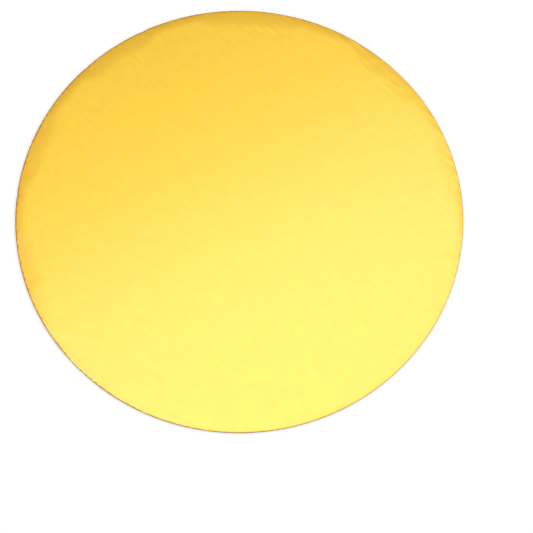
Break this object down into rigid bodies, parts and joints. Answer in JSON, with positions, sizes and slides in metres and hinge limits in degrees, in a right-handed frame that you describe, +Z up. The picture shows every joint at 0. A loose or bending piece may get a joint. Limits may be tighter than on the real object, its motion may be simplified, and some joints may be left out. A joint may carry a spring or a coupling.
{
  "type": "cake board",
  "caption": "Round cake board of thin corrugated cardboard with a gold foil face, a flat stiff base that a cake stands on.",
  "frame": {"origin": "centre of the underside", "axes": "+Z up out of the gold face, Y along the flutes, X across them"},
  "size_m": [0.2032, 0.2032, 0.0017],
  "materials": {
    "gold_foil": "satin",
    "kraft_liner": "matte",
    "kraft_medium": "matte"
  },
  "bodies": {
    "root": {"base_liner": "kraft_liner", "fluted_medium": "kraft_medium", "face_liner": "kraft_liner", "gold_foil": "gold_foil"}
  },
  "joints": []
}
